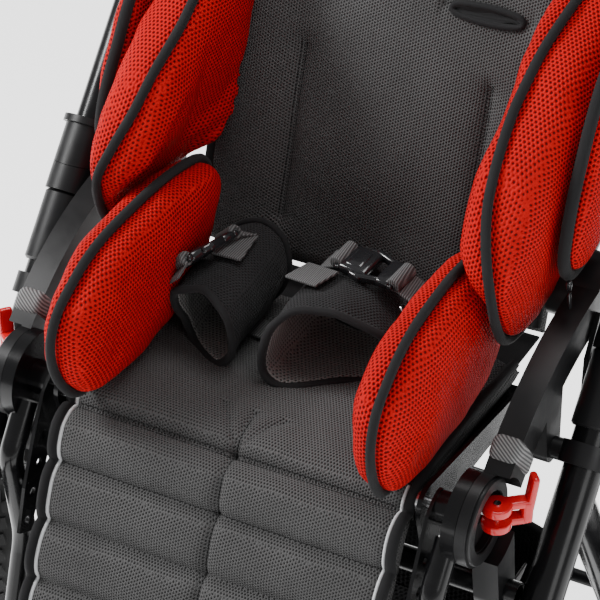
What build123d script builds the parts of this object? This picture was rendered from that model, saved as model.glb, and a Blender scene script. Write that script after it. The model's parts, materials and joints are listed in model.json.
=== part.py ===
from build123d import *
import math
import os

os.makedirs("parts", exist_ok=True)

# A three-wheeled special-needs jogging stroller.  Row frame: X to the child's left, Y to the
# rear, Z up, origin on the floor under the middle of the object.  Places on the seat unit are
# given from the seat hub axis: y to the rear of it and z above it.  All sizes are millimetres.

# ---- wheels and ground -------------------------------------------------------------------
hub_height = 500.0          # seat hub axis above the floor
front_reach = 622.0         # seat hub axis to the front of the front wheel
rear_wheel_radius = 200.0
rear_tyre_width = 44.0
rear_axle_y = 250.0
wheel_centre_x = 300.0      # rear wheels' middle planes
front_wheel_radius = 152.5
front_tyre_width = 40.0
tyre_depth = 24.0
axle_radius = 6.0
running_gap = 0.05          # radial clearance of a shaft in its bore
clear_gap = 0.4             # gap between moving faces

# ---- frame tubes -------------------------------------------------------------------------
frame_half_width = 250.0    # side tubes' middle planes
tube_radius = 16.0
tube_wall = 2.0
ring_y, ring_z = 104.0, 15.6  # clamp ring on the side tube, from the hub axis
side_slope = 49.5           # slope of the side tube, degrees
floor_run_z = -140.0        # low forward run of the side tube
bend_front_y = -300.0
steer_trail = 40.0
head_radius = 36.0
head_height = 60.0
leg_radius = 14.0
stay_radius = 9.0
cross_bar_radius = 10.0
cross_bar_y, cross_bar_z = 20.0, -78.0

# ---- folding joint and push handle -------------------------------------------------------
sleeve_start, sleeve_length = 12.0, 62.0
sleeve_radius = 20.0
knuckle_radius = 21.5
hinge_at = 107.0            # along the tube from the clamp ring
knuckle_end = 139.0
hinge_offset = 22.0         # pin behind the tube's middle line
hinge_pin_radius = 3.0
push_radius = 15.0
push_length = 602.0         # clamp ring to the handle pivot
handle_arm = 100.0
handle_slope = 40.0
handle_tube_radius = 12.0
grip_radius = 17.0
handle_inset = 13.0         # handle arms sit inside the push tubes

# ---- seat --------------------------------------------------------------------------------
seat_half_width = 154.0
seat_top = 10.0
seat_pad_thickness = 24.0
seat_front_y, seat_rear_y = -13.0, 188.0
board_thickness = 7.0
arm_inner_x, arm_outer_x = 200.5, 222.0
arm_width = 34.0
hub_radius = 37.0
inner_hub_x = 178.0
leg_disc_x = 189.0          # inner face of the leg disc
hub_thickness = 9.0         # of the seat arm's disc at the hub
lever_pocket_radius = 24.0
lever_lobe_radius = 12.0
lever_y, lever_z = 6.0, 4.0  # cam lever pivot, from the hub axis
barrel_radius = 3.4
recline_y, recline_z = 199.0, 92.0
recline_radius = 30.0
back_slope = 17.0           # backrest from the vertical, degrees
back_length = 560.0
back_thickness = 36.0
back_foot_y, back_foot_z = 204.0, 24.0
back_bar_x = 187.0
back_bar_radius = 10.0

# ---- leg rest ----------------------------------------------------------------------------
leg_bar_x = 188.0
leg_bar_radius = 10.0
leg_bore_radius = 7.5
slider_radius = 7.2
calf_thickness = 24.0
plate_x = 169.0
foot_y, foot_z = -92.0, -314.0
foot_length, foot_half_width = 180.0, 120.0
foot_slope = 22.8


def turned(angle):
    """Unit (y, z) of a direction at an angle above the rearward horizontal."""
    return math.cos(math.radians(angle)), math.sin(math.radians(angle))


slope_y, slope_z = turned(side_slope)
steer_y = -front_reach + front_wheel_radius - steer_trail
handle_y = ring_y + push_length * slope_y
handle_z = ring_z + push_length * slope_z
arm_y, arm_z = turned(handle_slope)
rear_reach = handle_y + handle_arm * arm_y + grip_radius
hub_y = (front_reach - rear_reach) / 2
rear_axle_z = rear_wheel_radius - hub_height
front_axle_z = front_wheel_radius - hub_height
front_axle_y = steer_y + steer_trail
crown_bottom = front_wheel_radius * 2 - hub_height + 10
crown_top = crown_bottom + 22
head_bottom = crown_top + clear_gap
head_top = head_bottom + head_height
back_up_y, back_up_z = turned(90 - back_slope)


def save(name, *solids):
    """Place solids made about the hub axis in the row frame and write the node."""
    placed = [Pos(0, hub_y, hub_height) * solid for solid in solids]
    export_step(Compound(children=placed) if len(placed) > 1 else placed[0], f"parts/{name}.step")


def flip(shape):
    """The same piece on the child's right."""
    return mirror(shape, about=Plane.YZ)


def save_pair(name, shape):
    save(f"{name}_left", shape)
    save(f"{name}_right", flip(shape))


def along_x(x0, x1, y, z, radius, bore=0.0):
    """A round bar or ring along X."""
    middle = Pos((x0 + x1) / 2, y, z) * Rot(0, 90, 0)
    bar = middle * Cylinder(radius, abs(x1 - x0))
    return bar - middle * Cylinder(bore, abs(x1 - x0) + 2) if bore else bar


def plate(points, x0, x1):
    """A flat plate from its (y, z) outline, between two X planes."""
    face = make_face(Polyline(*[(x0, y, z) for y, z in points], close=True))
    return extrude(face, amount=x1 - x0, dir=(1, 0, 0))


def sweep_tube(points, radii, radius, bore=0.0):
    """A tube through 3-D points with rounded corners."""
    path = FilletPolyline(*points, radius=radii) if len(points) > 2 else Line(*points)
    start = Plane(path @ 0, z_dir=path % 0)
    tube = sweep(start * Circle(radius), path=path)
    return tube - sweep(start * Circle(bore), path=path) if bore else tube


def side_axis(distance, offset=0.0):
    """(y, z) on the side tube's line, distance from the clamp ring, offset to its rear side."""
    return (ring_y + distance * slope_y + offset * slope_z,
            ring_z + distance * slope_z - offset * slope_y)


def side_frame(distance):
    """Plane across the side tube: local X lateral, Y to the tube's rear side, Z up the tube."""
    y, z = side_axis(distance)
    return Plane((frame_half_width, y, z), x_dir=(1, 0, 0), z_dir=(0, slope_y, slope_z))


def hull_bar(y0, z0, r0, y1, z1, r1, x0, x1):
    """A flat link with two round ends, between two X planes."""
    reach = math.hypot(y1 - y0, z1 - z0)
    lean = math.atan2(z1 - z0, y1 - y0)
    tilt = math.acos((r0 - r1) / reach)
    outline = []
    for radius, y, z, side in ((r0, y0, z0, 1), (r1, y1, z1, 1), (r1, y1, z1, -1), (r0, y0, z0, -1)):
        angle = lean + side * tilt
        outline.append((y + radius * math.cos(angle), z + radius * math.sin(angle)))
    return (plate(outline, x0, x1) + along_x(x0, x1, y0, z0, r0) + along_x(x0, x1, y1, z1, r1))


# ---- side tubes, head block, rear legs, axle, stays, cross bar ---------------------------
tube_top = hinge_at - 22
run_start = (floor_run_z - ring_z) / slope_z
side_points = [(frame_half_width, *side_axis(tube_top)),
               (frame_half_width, *side_axis(run_start)),
               (frame_half_width, bend_front_y, floor_run_z),
               (18, steer_y, floor_run_z)]
side_radii = [110, 60]
head_axis = Pos(0, steer_y, (head_bottom + head_top) / 2)
side_solid = sweep_tube(side_points, side_radii, tube_radius)
side_bore = sweep_tube(side_points, side_radii, tube_radius - tube_wall)
head_space = head_axis * Cylinder(head_radius, head_height + 40)
save_pair("side_tube", side_solid - side_bore - head_space)

steerer_radius = 12.0
lock_radius = 26.0
lock_pin_radius = 4.0
block = head_axis * Cylinder(head_radius, head_height)
block = chamfer(block.edges().group_by(Axis.Z)[0] + block.edges().group_by(Axis.Z)[-1], 2)
block -= head_axis * Cylinder(steerer_radius + running_gap, head_height + 2)
block -= head_axis * Pos(0, -lock_radius, 0) * Cylinder(lock_pin_radius + running_gap, head_height + 2)
save("head_block", block)

leg_top_y, leg_top_z = side_axis(-40)
leg_points = [(frame_half_width, leg_top_y, leg_top_z), (frame_half_width, rear_axle_y, rear_axle_z)]
axle_tube_radius = 15.0
axle_space = along_x(-360, 360, rear_axle_y, rear_axle_z, axle_tube_radius)
rear_leg = sweep_tube(leg_points, [], leg_radius, leg_radius - tube_wall) - side_solid - axle_space
rear_leg = max(rear_leg.solids(), key=lambda solid: solid.volume)
save("rear_legs", rear_leg, flip(rear_leg))

brake_y, brake_z = rear_axle_y - 10, rear_axle_z + 64
brake_radius = 6.0
ear_x = 150.0
axle_tube_half = frame_half_width + 18
axle = along_x(-axle_tube_half, axle_tube_half, rear_axle_y, rear_axle_z,
               axle_tube_radius, axle_tube_radius - tube_wall)
for side in (-1, 1):
    axle += along_x(side * (axle_tube_half - 30), side * (wheel_centre_x + 30),
                    rear_axle_y, rear_axle_z, axle_radius)
    axle += along_x(side * (axle_tube_half - 30), side * axle_tube_half,
                    rear_axle_y, rear_axle_z, axle_tube_radius - 1)
    axle += hull_bar(rear_axle_y, rear_axle_z, 14, brake_y, brake_z, 12, side * ear_x - 4, side * ear_x + 4)
axle -= along_x(-ear_x - 9, ear_x + 9, brake_y, brake_z, brake_radius + running_gap)
save("rear_axle", axle)

stay_x = 222.0
stay_front_y, stay_front_z = side_axis(run_start + 40)
stay_points = [(stay_x, rear_axle_y, rear_axle_z), (stay_x + 12, stay_front_y, stay_front_z)]
stay = sweep_tube(stay_points, [], stay_radius) - side_solid - axle_space
stay = max(stay.solids(), key=lambda solid: solid.volume)
save("lower_stays", stay, flip(stay))

# ---- fold knuckles -----------------------------------------------------------------------
pin_y, pin_z = side_axis(hinge_at, hinge_offset)
lug_radius, lug_half, ear_half = 8.0, 6.5, 15.0
joint_plane = side_frame(hinge_at) * Pos(0, hinge_offset, 0) * Rot(14, 0, 0)
above_joint = joint_plane * Pos(0, 0, 60) * Box(120, 160, 120)
below_joint = joint_plane * Pos(0, 0, -60) * Box(120, 160, 120 - clear_gap * 2)
base_start = sleeve_start + sleeve_length + clear_gap
knuckle_column = side_frame(base_start) * Pos(0, 0, 40) * Cylinder(knuckle_radius, 80)


def lug(half, radius, gap=0.0):
    return along_x(frame_half_width - half - gap, frame_half_width + half + gap, pin_y, pin_z, radius + gap)


hinge_bore = lug(40, hinge_pin_radius + running_gap)
tube_seat = side_frame(tube_top) * Pos(0, 0, -50) * Cylinder(tube_radius + running_gap, 100)
base = (knuckle_column & below_joint) + lug(lug_half, lug_radius)
base -= lug(ear_half + 2, lug_radius, clear_gap) - lug(lug_half, lug_radius, 0)
base = base - tube_seat - hinge_bore
base = max(base.solids(), key=lambda solid: solid.volume)
save_pair("knuckle_base", base)

cap_length = knuckle_end - hinge_at + 22
cap_column = side_frame(hinge_at - 22) * Pos(0, 0, cap_length / 2) * Cylinder(knuckle_radius, cap_length)
rim = side_frame(knuckle_end - 6) * Pos(0, 0, 3) * Cylinder(knuckle_radius + 3, 6)
cap = (cap_column & above_joint) + rim + (lug(ear_half, lug_radius) - lug(lug_half, lug_radius + 4, clear_gap))
cap -= lug(lug_half, lug_radius, clear_gap)
cap -= side_frame(knuckle_end - 14) * Pos(0, 0, 50) * Cylinder(push_radius + running_gap, 100)
cap -= hinge_bore
cap = max(cap.solids(), key=lambda solid: solid.volume)
save_pair("knuckle_cap", cap)

sleeve_middle = sleeve_start + sleeve_length / 2
sleeve = side_frame(sleeve_middle) * Cylinder(sleeve_radius, sleeve_length)
sleeve = chamfer(sleeve.edges().filter_by(GeomType.CIRCLE), 2)
sleeve -= side_frame(sleeve_middle) * Cylinder(tube_radius + clear_gap, sleeve_length + 2)
save_pair("lock_sleeve", sleeve)

# ---- push tubes, handle pivots, handle ---------------------------------------------------
housing_radius = 26.0
pivot_split = frame_half_width - 1
push_start, push_end = knuckle_end - 13.5, push_length - housing_radius - 4
push_middle = (push_start + push_end) / 2
push = side_frame(push_middle) * Cylinder(push_radius, push_end - push_start)
push -= side_frame(push_middle) * Cylinder(push_radius - tube_wall, push_end - push_start + 2)
save_pair("pusher_tube", push)

boss = side_frame(push_end) * Pos(0, 0, -5) * Cylinder(push_radius + 4, 36)
boss -= side_frame(push_end) * Pos(0, 0, -20) * Cylinder(push_radius + running_gap, 40)
boss -= along_x(frame_half_width - 60, pivot_split, handle_y, handle_z, housing_radius + 1)
housing = along_x(pivot_split, frame_half_width + 19, handle_y, handle_z, housing_radius) + boss
save("handle_housings", housing, flip(housing))

handle_x = frame_half_width - handle_inset
socket = along_x(handle_x - 15, pivot_split - clear_gap, handle_y, handle_z, housing_radius)
handle_frame = Plane((handle_x, handle_y, handle_z), x_dir=(1, 0, 0), z_dir=(0, arm_y, arm_z))
socket += handle_frame * Pos(0, 0, 27) * Cylinder(handle_tube_radius + 3, 30) \
    - along_x(pivot_split - clear_gap, 300, handle_y, handle_z, 60)
arm_start = 28.0
socket -= handle_frame * Pos(0, 0, arm_start + 20) * Cylinder(handle_tube_radius + running_gap, 40)
save("handle_sockets", socket, flip(socket))


def handle_point(x, distance):
    return (x, handle_y + distance * arm_y, handle_z + distance * arm_z)


handle_points = [handle_point(handle_x, arm_start), handle_point(handle_x, handle_arm),
                 handle_point(-handle_x, handle_arm), handle_point(-handle_x, arm_start)]
save("handle_bar", sweep_tube(handle_points, [45, 45], handle_tube_radius, handle_tube_radius - tube_wall))
grip_half = handle_x - 50
_, grip_y, grip_z = handle_point(0, handle_arm)
grip = along_x(-grip_half, grip_half, grip_y, grip_z, grip_radius)
grip = fillet(grip.edges().filter_by(GeomType.CIRCLE), 4)
save("handle_grip", grip - along_x(-300, 300, grip_y, grip_z, handle_tube_radius + running_gap))

# ---- wheels ------------------------------------------------------------------------------


def wheel_ring(inner, outer, width, edge):
    """A rounded ring about the X axis."""
    section = Pos(0, (inner + outer) / 2) * RectangleRounded(width, outer - inner, edge)
    return revolve(section, axis=Axis.X)


def spoked_wheel(rim_radius, width, hub_half, hub_round, spokes, bore):
    """Hub, spokes and rim as one moulding."""
    wheel = wheel_ring(rim_radius - 16, rim_radius - 0.05, width - 8, 4)
    wheel += Rot(0, 90, 0) * Cylinder(hub_round, hub_half * 2)
    reach = rim_radius - 8 - hub_round
    for number in range(spokes):
        spoke = Pos(0, 0, hub_round - 2 + reach / 2) * Box(12, 18, reach + 8)
        wheel += Rot(360 / spokes * number, 0, 0) * spoke
    return wheel - Rot(0, 90, 0) * Cylinder(bore, hub_half * 2 + 4)


rear_place = Pos(wheel_centre_x, rear_axle_y, rear_axle_z)
rear_rim_radius = rear_wheel_radius - tyre_depth
save_pair("rear_tyre", rear_place * wheel_ring(rear_rim_radius, rear_wheel_radius, rear_tyre_width, 11))
rear_wheel = spoked_wheel(rear_rim_radius, rear_tyre_width, 24, 20, 10, axle_radius + running_gap)
slot_flange_radius = 42.0
slot_count = 8
slot_angle = 60.0           # of the brake pin above the rearward horizontal
flange = Pos(-20, 0, 0) * Rot(0, 90, 0) * (Cylinder(slot_flange_radius, 7) - Cylinder(axle_radius + 4, 8))
slot_depth = 12.0
for number in range(slot_count):
    notch = Pos(-20, 0, slot_flange_radius) * Box(9, 13, slot_depth * 2)
    flange -= Rot(360 / slot_count * number + slot_angle - 90, 0, 0) * notch
save_pair("rear_wheel", rear_place * (rear_wheel + flange))

front_place = Pos(0, front_axle_y, front_axle_z)
front_rim_radius = front_wheel_radius - tyre_depth
save("front_tyre", front_place * wheel_ring(front_rim_radius, front_wheel_radius, front_tyre_width, 10))
save("front_wheel", front_place * spoked_wheel(front_rim_radius, front_tyre_width, 28, 16, 8,
                                               axle_radius + running_gap))

# ---- fork --------------------------------------------------------------------------------
fork_inner = 29.0
fork_leg = 9.0
crown_middle = (crown_bottom + crown_top) / 2
crown = Pos(0, steer_y, crown_middle) * Box((fork_inner + fork_leg) * 2, 72, crown_top - crown_bottom)
crown = fillet(crown.edges().filter_by(Axis.Z), 20)
fork = crown
for side in (-1, 1):
    inner, outer = side * fork_inner, side * (fork_inner + fork_leg)
    top_outline = [(steer_y - 22, crown_top - 3), (steer_y + 22, crown_top - 3),
                   (front_axle_y + 16, front_axle_z), (front_axle_y - 16, front_axle_z)]
    fork += plate(top_outline, min(inner, outer), max(inner, outer))
    fork += along_x(inner, outer, front_axle_y, front_axle_z, 16)
nut_top = head_top + clear_gap + 8
fork += Pos(0, steer_y, (crown_top + nut_top) / 2) * Cylinder(steerer_radius, nut_top - crown_top)
fork += Pos(0, steer_y, nut_top - 4) * Cylinder(16, 8)
for side in (-1, 1):
    fork -= Pos(0, steer_y + side * lock_radius, crown_top - 7) * Cylinder(lock_pin_radius + 0.5, 14.1)
fork -= along_x(-60, 60, front_axle_y, front_axle_z, axle_radius + running_gap)
save("front_fork", fork)

axle_head = fork_inner + fork_leg
bolt = along_x(-axle_head - 12, axle_head + 12, front_axle_y, front_axle_z, axle_radius)
for side in (-1, 1):
    bolt += along_x(side * axle_head, side * (axle_head + 7), front_axle_y, front_axle_z, 11)
save("front_axle", bolt)

pin_bottom = crown_top + 2
lock_pin = Pos(0, steer_y - lock_radius, (pin_bottom + head_top + 14) / 2) \
    * Cylinder(lock_pin_radius, head_top + 14 - pin_bottom)
lock_knob = Pos(0, steer_y - lock_radius, head_top + 18) * Cylinder(9, 10)
save("swivel_lock_pin", lock_pin + fillet(lock_knob.edges().group_by(Axis.Z)[-1], 3))

# ---- parking brake -----------------------------------------------------------------------
brake_half = wheel_centre_x - 30
brake = along_x(-brake_half, brake_half, brake_y, brake_z, brake_radius)
tip_reach = slot_flange_radius + 7
tip_y = rear_axle_y + tip_reach * turned(slot_angle)[0]
tip_z = rear_axle_z + tip_reach * turned(slot_angle)[1]
for side in (-1, 1):
    centre = side * (wheel_centre_x - 36)
    brake += hull_bar(brake_y, brake_z, 9, tip_y, tip_z, 6, centre - 5, centre + 5)
    brake += along_x(side * (wheel_centre_x - 40), side * (wheel_centre_x - 16.5), tip_y, tip_z, 4.5)
pedal = Pos(0, brake_y, brake_z) * Rot(4, 0, 0) * Pos(0, 40, 2) * Box(110, 74, 9)
brake += fillet(pedal.edges().filter_by(Axis.X), 3)
save("brake_pedal", brake)

# ---- seat arms, hubs, cross bar ----------------------------------------------------------


def arm_arc(p0, p1, p2):
    """Centre and radius of the arm's middle line, an arc through three (y, z) points."""
    (ax, ay), (bx, by), (cx, cy) = p0, p1, p2
    d = 2 * (ax * (by - cy) + bx * (cy - ay) + cx * (ay - by))
    aa, bb, cc = ax * ax + ay * ay, bx * bx + by * by, cx * cx + cy * cy
    y = (aa * (by - cy) + bb * (cy - ay) + cc * (ay - by)) / d
    z = (aa * (cx - bx) + bb * (ax - cx) + cc * (bx - ax)) / d
    return y, z, math.hypot(ax - y, ay - z)


arc_y, arc_z, arc_r = arm_arc((8, 6), (94, 70), (recline_y, recline_z))
arm = along_x(arm_inner_x, arm_outer_x, arc_y, arc_z, arc_r + arm_width / 2, arc_r - arm_width / 2)
arm &= plate([(arc_y, arc_z), (8 - 300, 6 + 200), (94, 400), (recline_y + 8, 400),
              (recline_y, recline_z)], arm_inner_x, arm_outer_x)
arm += along_x(arm_inner_x, arm_outer_x, 0, 0, hub_radius)
arm += along_x(arm_inner_x, arm_outer_x, recline_y, recline_z, recline_radius)
stub_y, stub_z = side_axis(-9)
arm += hull_bar(94, 66, 16, stub_y, stub_z, 13, arm_inner_x, arm_outer_x)
arm += hull_bar(8, 6, 16, cross_bar_y, cross_bar_z, 15, arm_inner_x, arm_outer_x)
arm += along_x(arm_outer_x - 1, frame_half_width, stub_y, stub_z, 9)
arm += side_frame(-9) * Cylinder(tube_radius + 5, 18)
arm -= side_frame(-9) * Cylinder(tube_radius + running_gap, 80)
bolt_radius = 5.0
arm -= along_x(100, 300, 0, 0, bolt_radius + running_gap)
arm -= along_x(arm_inner_x - 1, arm_outer_x + 1, cross_bar_y, cross_bar_z, cross_bar_radius + running_gap)
arm -= along_x(100, arm_outer_x + 1, recline_y, recline_z, bolt_radius + running_gap)
hub_face_x = arm_inner_x + hub_thickness
pocket_x = hub_face_x - 6
lever_x = pocket_x + lever_lobe_radius + 0.4
barrel_space = along_x(arm_inner_x + 1, lever_x, lever_y, lever_z, barrel_radius)
arm -= along_x(hub_face_x, arm_outer_x + 1, 0, 0, hub_radius + 1)
arm -= along_x(pocket_x, hub_face_x + 1, 0, 0, lever_pocket_radius)
arm -= barrel_space
arm = max(arm.solids(), key=lambda solid: solid.volume)
save_pair("seat_arm", arm)

hub_cover = along_x(hub_face_x + 0.05, hub_face_x + 3, 0, 0, hub_radius - 2, lever_pocket_radius + 1)
hub_cover = chamfer(hub_cover.edges().group_by(Axis.X)[-1], 1)

cross_bar = along_x(-frame_half_width + tube_radius + 2, frame_half_width - tube_radius - 2,
                    cross_bar_y, cross_bar_z, cross_bar_radius, cross_bar_radius - tube_wall)

# ---- seat plate with cheeks, pads --------------------------------------------------------
board_top = seat_top - seat_pad_thickness
cheek_x = seat_half_width + 5
board = Pos(0, (seat_front_y + 6 + seat_rear_y) / 2, board_top - board_thickness / 2) \
    * Box(cheek_x * 2 + 8, seat_rear_y - seat_front_y - 6, board_thickness)
cheek = hull_bar(0, 0, 16, cross_bar_y, cross_bar_z, 15, cheek_x, cheek_x + 4)
cheek += hull_bar(0, 0, 16, seat_rear_y - 20, board_top, 10, cheek_x, cheek_x + 4)
cheek -= along_x(100, 300, 0, 0, bolt_radius + running_gap)
board = board + cheek + flip(cheek)
board -= along_x(-300, 300, cross_bar_y, cross_bar_z, cross_bar_radius + running_gap)
save("seat_plate", board)
save("seat_cross_bar", cross_bar)

pad_outline = [(seat_front_y, board_top), (seat_front_y - 4, (board_top + seat_top) / 2),
               (seat_front_y, seat_top - 5), (seat_front_y + 12, seat_top),
               (seat_rear_y, seat_top), (seat_rear_y, board_top)]
save("seat_pad", plate(pad_outline, -seat_half_width, seat_half_width))


def soft(outline, x0, x1, edge):
    """A plain cushion from its side outline, with its side edges eased."""
    body = plate(outline, x0, x1)
    faces = body.faces().sort_by(Axis.X)
    return chamfer(faces[0].edges() + faces[-1].edges(), edge)


hip_floor = seat_top + 2.5
hip_outline = [(-12, hip_floor), (-38, hip_floor + 22), (-46, 62), (-30, 92), (6, 112), (60, 126),
               (120, 134), (160, 128), (172, 100), (162, 50), (130, 22), (60, hip_floor)]
hip_inner, hip_outer = 108.0, 160.0
save_pair("hip_pad", soft(hip_outline, hip_inner, hip_outer, 10))


def back_point(up, ahead):
    """(y, z) up the backrest from its foot, ahead of its front face."""
    return (back_foot_y + up * back_up_y - ahead * back_up_z,
            back_foot_z + up * back_up_z + ahead * back_up_y)


back_half_width = seat_half_width + 6
back_outline = [back_point(0, 0), back_point(back_length, 0), back_point(back_length, -back_thickness),
                back_point(14, -back_thickness), back_point(0, -16)]
save("back_pad", plate(back_outline, -back_half_width, back_half_width))

side_inner, side_outer = 162.5, 197.0
side_outline = [(112, 84), (88, 110), (76, 150), (84, 185), (106, 215), (140, 245), (190, 275), (245, 300),
                back_point(330, 4), back_point(110, 4), (205, 112), (170, 84), (140, 78)]
lobe = soft(side_outline, side_inner, side_outer, 9)
inner_lobe_outline = [back_point(130, 3), (178, 150), (150, 185), (150, 215), (185, 250), (240, 285),
                      back_point(300, 3)]
lobe += soft(inner_lobe_outline, side_inner - 34, side_inner + 12, 8)
outer_lobe_outline = [(152, 128), (134, 147), (128, 175), (138, 197), (155, 222), (183, 257), (220, 285),
                      back_point(290, 4), back_point(150, 4), (190, 136)]
lobe += soft(outer_lobe_outline, side_outer - 4, side_outer + 22, 8)
arm_clear = along_x(inner_hub_x - 10, arm_outer_x + 20, recline_y, recline_z, recline_radius + 2)
save_pair("side_pad", lobe - arm_clear)

# ---- backrest frame and its discs --------------------------------------------------------
bar_low_y, bar_low_z = back_point(110, -24)
bar_top_y, bar_top_z = back_point(back_length + 16, -24)
back_points = []
for side in (1, -1):
    ends = [(side * back_bar_x, recline_y, recline_z), (side * back_bar_x, bar_low_y, bar_low_z),
            (side * back_bar_x, bar_top_y, bar_top_z)]
    back_points += ends if side == 1 else ends[::-1]
back_frame = sweep_tube(back_points, [60, 40, 40, 60], back_bar_radius, back_bar_radius - tube_wall)
disc = along_x(inner_hub_x, arm_inner_x - clear_gap, recline_y, recline_z, recline_radius - 2)
disc -= along_x(100, 300, recline_y, recline_z, bolt_radius + running_gap)
disc_space = along_x(-230, 230, recline_y, recline_z, recline_radius - 2)
back_frame -= disc_space
save("back_frame", max(back_frame.solids(), key=lambda solid: solid.volume))
save("recline_discs", disc, flip(disc))

# ---- recline latches ---------------------------------------------------------------------
latch_x = arm_outer_x + 0.2
latch_plate = plate([(170, 92), (196, 62), (184, 20), (150, -18), (136, -14), (148, 14), (150, 60)],
                    latch_x, latch_x + 4)
latch_y, latch_z = 170.0, 31.0
latch_box = Pos(latch_x + 14, latch_y, latch_z) * Rot(-30, 0, 0) * Box(20, 30, 38)
latch = latch_plate + fillet(latch_box.edges().filter_by(Axis.X), 4)
latch += along_x(latch_x + 20, latch_x + 40, latch_y + 14, latch_z, 2.5)
trigger_frame = Pos(latch_x + 14, latch_y, latch_z) * Rot(-30, 0, 0)
latch -= trigger_frame * Pos(0, -11, 0) * Box(12, 12, 28)
save_pair("latch_box", latch)
trigger = trigger_frame * Pos(0, -14, 0) * Box(11, 9, 26)
save_pair("recline_trigger", fillet(trigger.edges().filter_by(Axis.X), 2))

# ---- red cam levers on the hubs ----------------------------------------------------------
lever_pin_radius = 3.0
lever_turn = 40.0           # closed lever, from straight out to the rear
lobe_height, lobe_gap = 22.0, 7.0
lever = Cylinder(lever_lobe_radius, lobe_height) + Pos(14, 3, 0) * Box(28, 13, lobe_height)
lever += Pos(27, 3.5, 12) * Rot(0, 8, 0) * Box(6, 12, 38)
lever -= Pos(-2, 0, 0) * Box(32, 30, lobe_gap)
lever -= Cylinder(lever_pin_radius + running_gap, 60)
lever_frame = Pos(lever_x, lever_y, lever_z) * Rot(0, 0, lever_turn)
save_pair("cam_lever", lever_frame * lever)
lever_pin = Pos(lever_x, lever_y, lever_z) * Cylinder(lever_pin_radius, lobe_height + 2)
barrel = barrel_space - lever_pin

# ---- leg rest ----------------------------------------------------------------------------
leg_disc = along_x(leg_disc_x, arm_inner_x - clear_gap, 0, 0, hub_radius)
leg_points = [(leg_bar_x, -18, -12), (leg_bar_x, -46, -50), (leg_bar_x, -34, -140), (leg_bar_x, -66, -236)]
leg_bar = sweep_tube(leg_points, [22, 60], leg_bar_radius)
slide_y, slide_z = leg_points[3][1] - leg_points[2][1], leg_points[3][2] - leg_points[2][2]
slide_length = math.hypot(slide_y, slide_z)
slide_y, slide_z = slide_y / slide_length, slide_z / slide_length


def slide_point(x, distance):
    """A point along the telescoping leg, from the lower mouth of the leg bar."""
    return (x, leg_points[3][1] + distance * slide_y, leg_points[3][2] + distance * slide_z)


slider_inside = 72.0
bore_line = Line(slide_point(leg_bar_x, -slider_inside - 6), slide_point(leg_bar_x, 20))
bore_start = Plane(bore_line @ 0, z_dir=bore_line % 0)
leg_bar = leg_bar + leg_disc
leg_bar -= sweep(bore_start * Circle(leg_bore_radius), path=bore_line)
leg_bar -= along_x(100, 300, 0, 0, bolt_radius + running_gap)
save_pair("leg_bar", leg_bar)

leg_plate = plate([(-10, 12), (8, -10), (-22, -60), (-52, -116), (-68, -108), (-56, -70), (-36, -26),
                   (-20, 4)], plate_x, plate_x + 3)
leg_plate += hull_bar(0, 0, 15, -14, -26, 13, plate_x, plate_x + 3)
for y, z in ((-24, -36), (-34, -58), (-46, -80), (-57, -102)):
    leg_plate -= along_x(100, 300, y, z, 4)
leg_plate -= along_x(100, 300, 0, 0, bolt_radius + running_gap)
spacer = along_x(plate_x + 3, leg_disc_x, 0, 0, 14, bolt_radius + running_gap)
save("leg_plates", leg_plate + spacer, flip(leg_plate + spacer))

calf_front = [(-27, -10), (-40, -40), (-54, -70), (-68, -98), (-83, -130), (-94, -160), (-103, -190)]
calf_back = [(-80, -198), (-70, -164), (-60, -134), (-46, -104), (-32, -76), (-22, -46), (-16, -26)]
calf_half = seat_half_width - 5
save("calf_pad", plate(calf_front + calf_back, -calf_half, calf_half))

foot_mouth = slide_point(leg_bar_x, -slider_inside)
foot_corner = (leg_bar_x, foot_y, foot_z)
foot_points = [foot_mouth, foot_corner, (-foot_corner[0], foot_y, foot_z), (-foot_mouth[0], *foot_mouth[1:])]
save("footrest_frame", sweep_tube(foot_points, [16, 16], slider_radius))

foot_dir_y, foot_dir_z = turned(180 - foot_slope)
foot_frame = Plane((0, foot_y, foot_z), x_dir=(1, 0, 0), z_dir=(0, foot_dir_y, foot_dir_z))
foot_plate = foot_frame * Pos(0, 0, 16 + foot_length / 2) * Box(foot_half_width * 2, 10, foot_length)
foot_plate = fillet(foot_plate.edges().filter_by(lambda edge: abs(edge.length - 10) < 0.01), 24)
for side in (-1, 1):
    foot_plate += along_x(side * 60, side * 100, foot_y, foot_z, slider_radius + 6)
    foot_plate += foot_frame * Pos(side * 80, 0, 13) * Box(36, 10, 20)
foot_plate -= along_x(-200, 200, foot_y, foot_z, slider_radius + running_gap)
save("footplate", foot_plate)

# ---- thigh cuffs, buckles, webbing -------------------------------------------------------
cuff_radius, cuff_wall, cuff_length = 37.0, 4.0, 96.0


def cuff(x, y, turn):
    """An open tube of padding lying on the seat."""
    place = Pos(x, y, seat_top + 1 + cuff_radius) * Rot(0, 0, turn) * Rot(90, 0, 0)
    return place * (Cylinder(cuff_radius, cuff_length) - Cylinder(cuff_radius - cuff_wall, cuff_length + 2))


def buckle(x, y, turn):
    """Side-release buckle bodies on top of a cuff."""
    place = Pos(x, y, seat_top + 1 + 2 * cuff_radius + 6.5) * Rot(0, 0, turn)
    body = Pos(-14, 0, 0) * Box(34, 30, 11)
    tongue = Pos(16, 0, 0) * Box(25, 26, 9)
    return [place * fillet(piece.edges().filter_by(Axis.Z), 4) for piece in (body, tongue)]


save("thigh_cuff_left", cuff(44, 114, -6))
save("thigh_cuff_right", cuff(-62, 112, 10))
save("cuff_buckles", *buckle(50, 120, -30), *buckle(-64, 118, 30))

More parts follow.
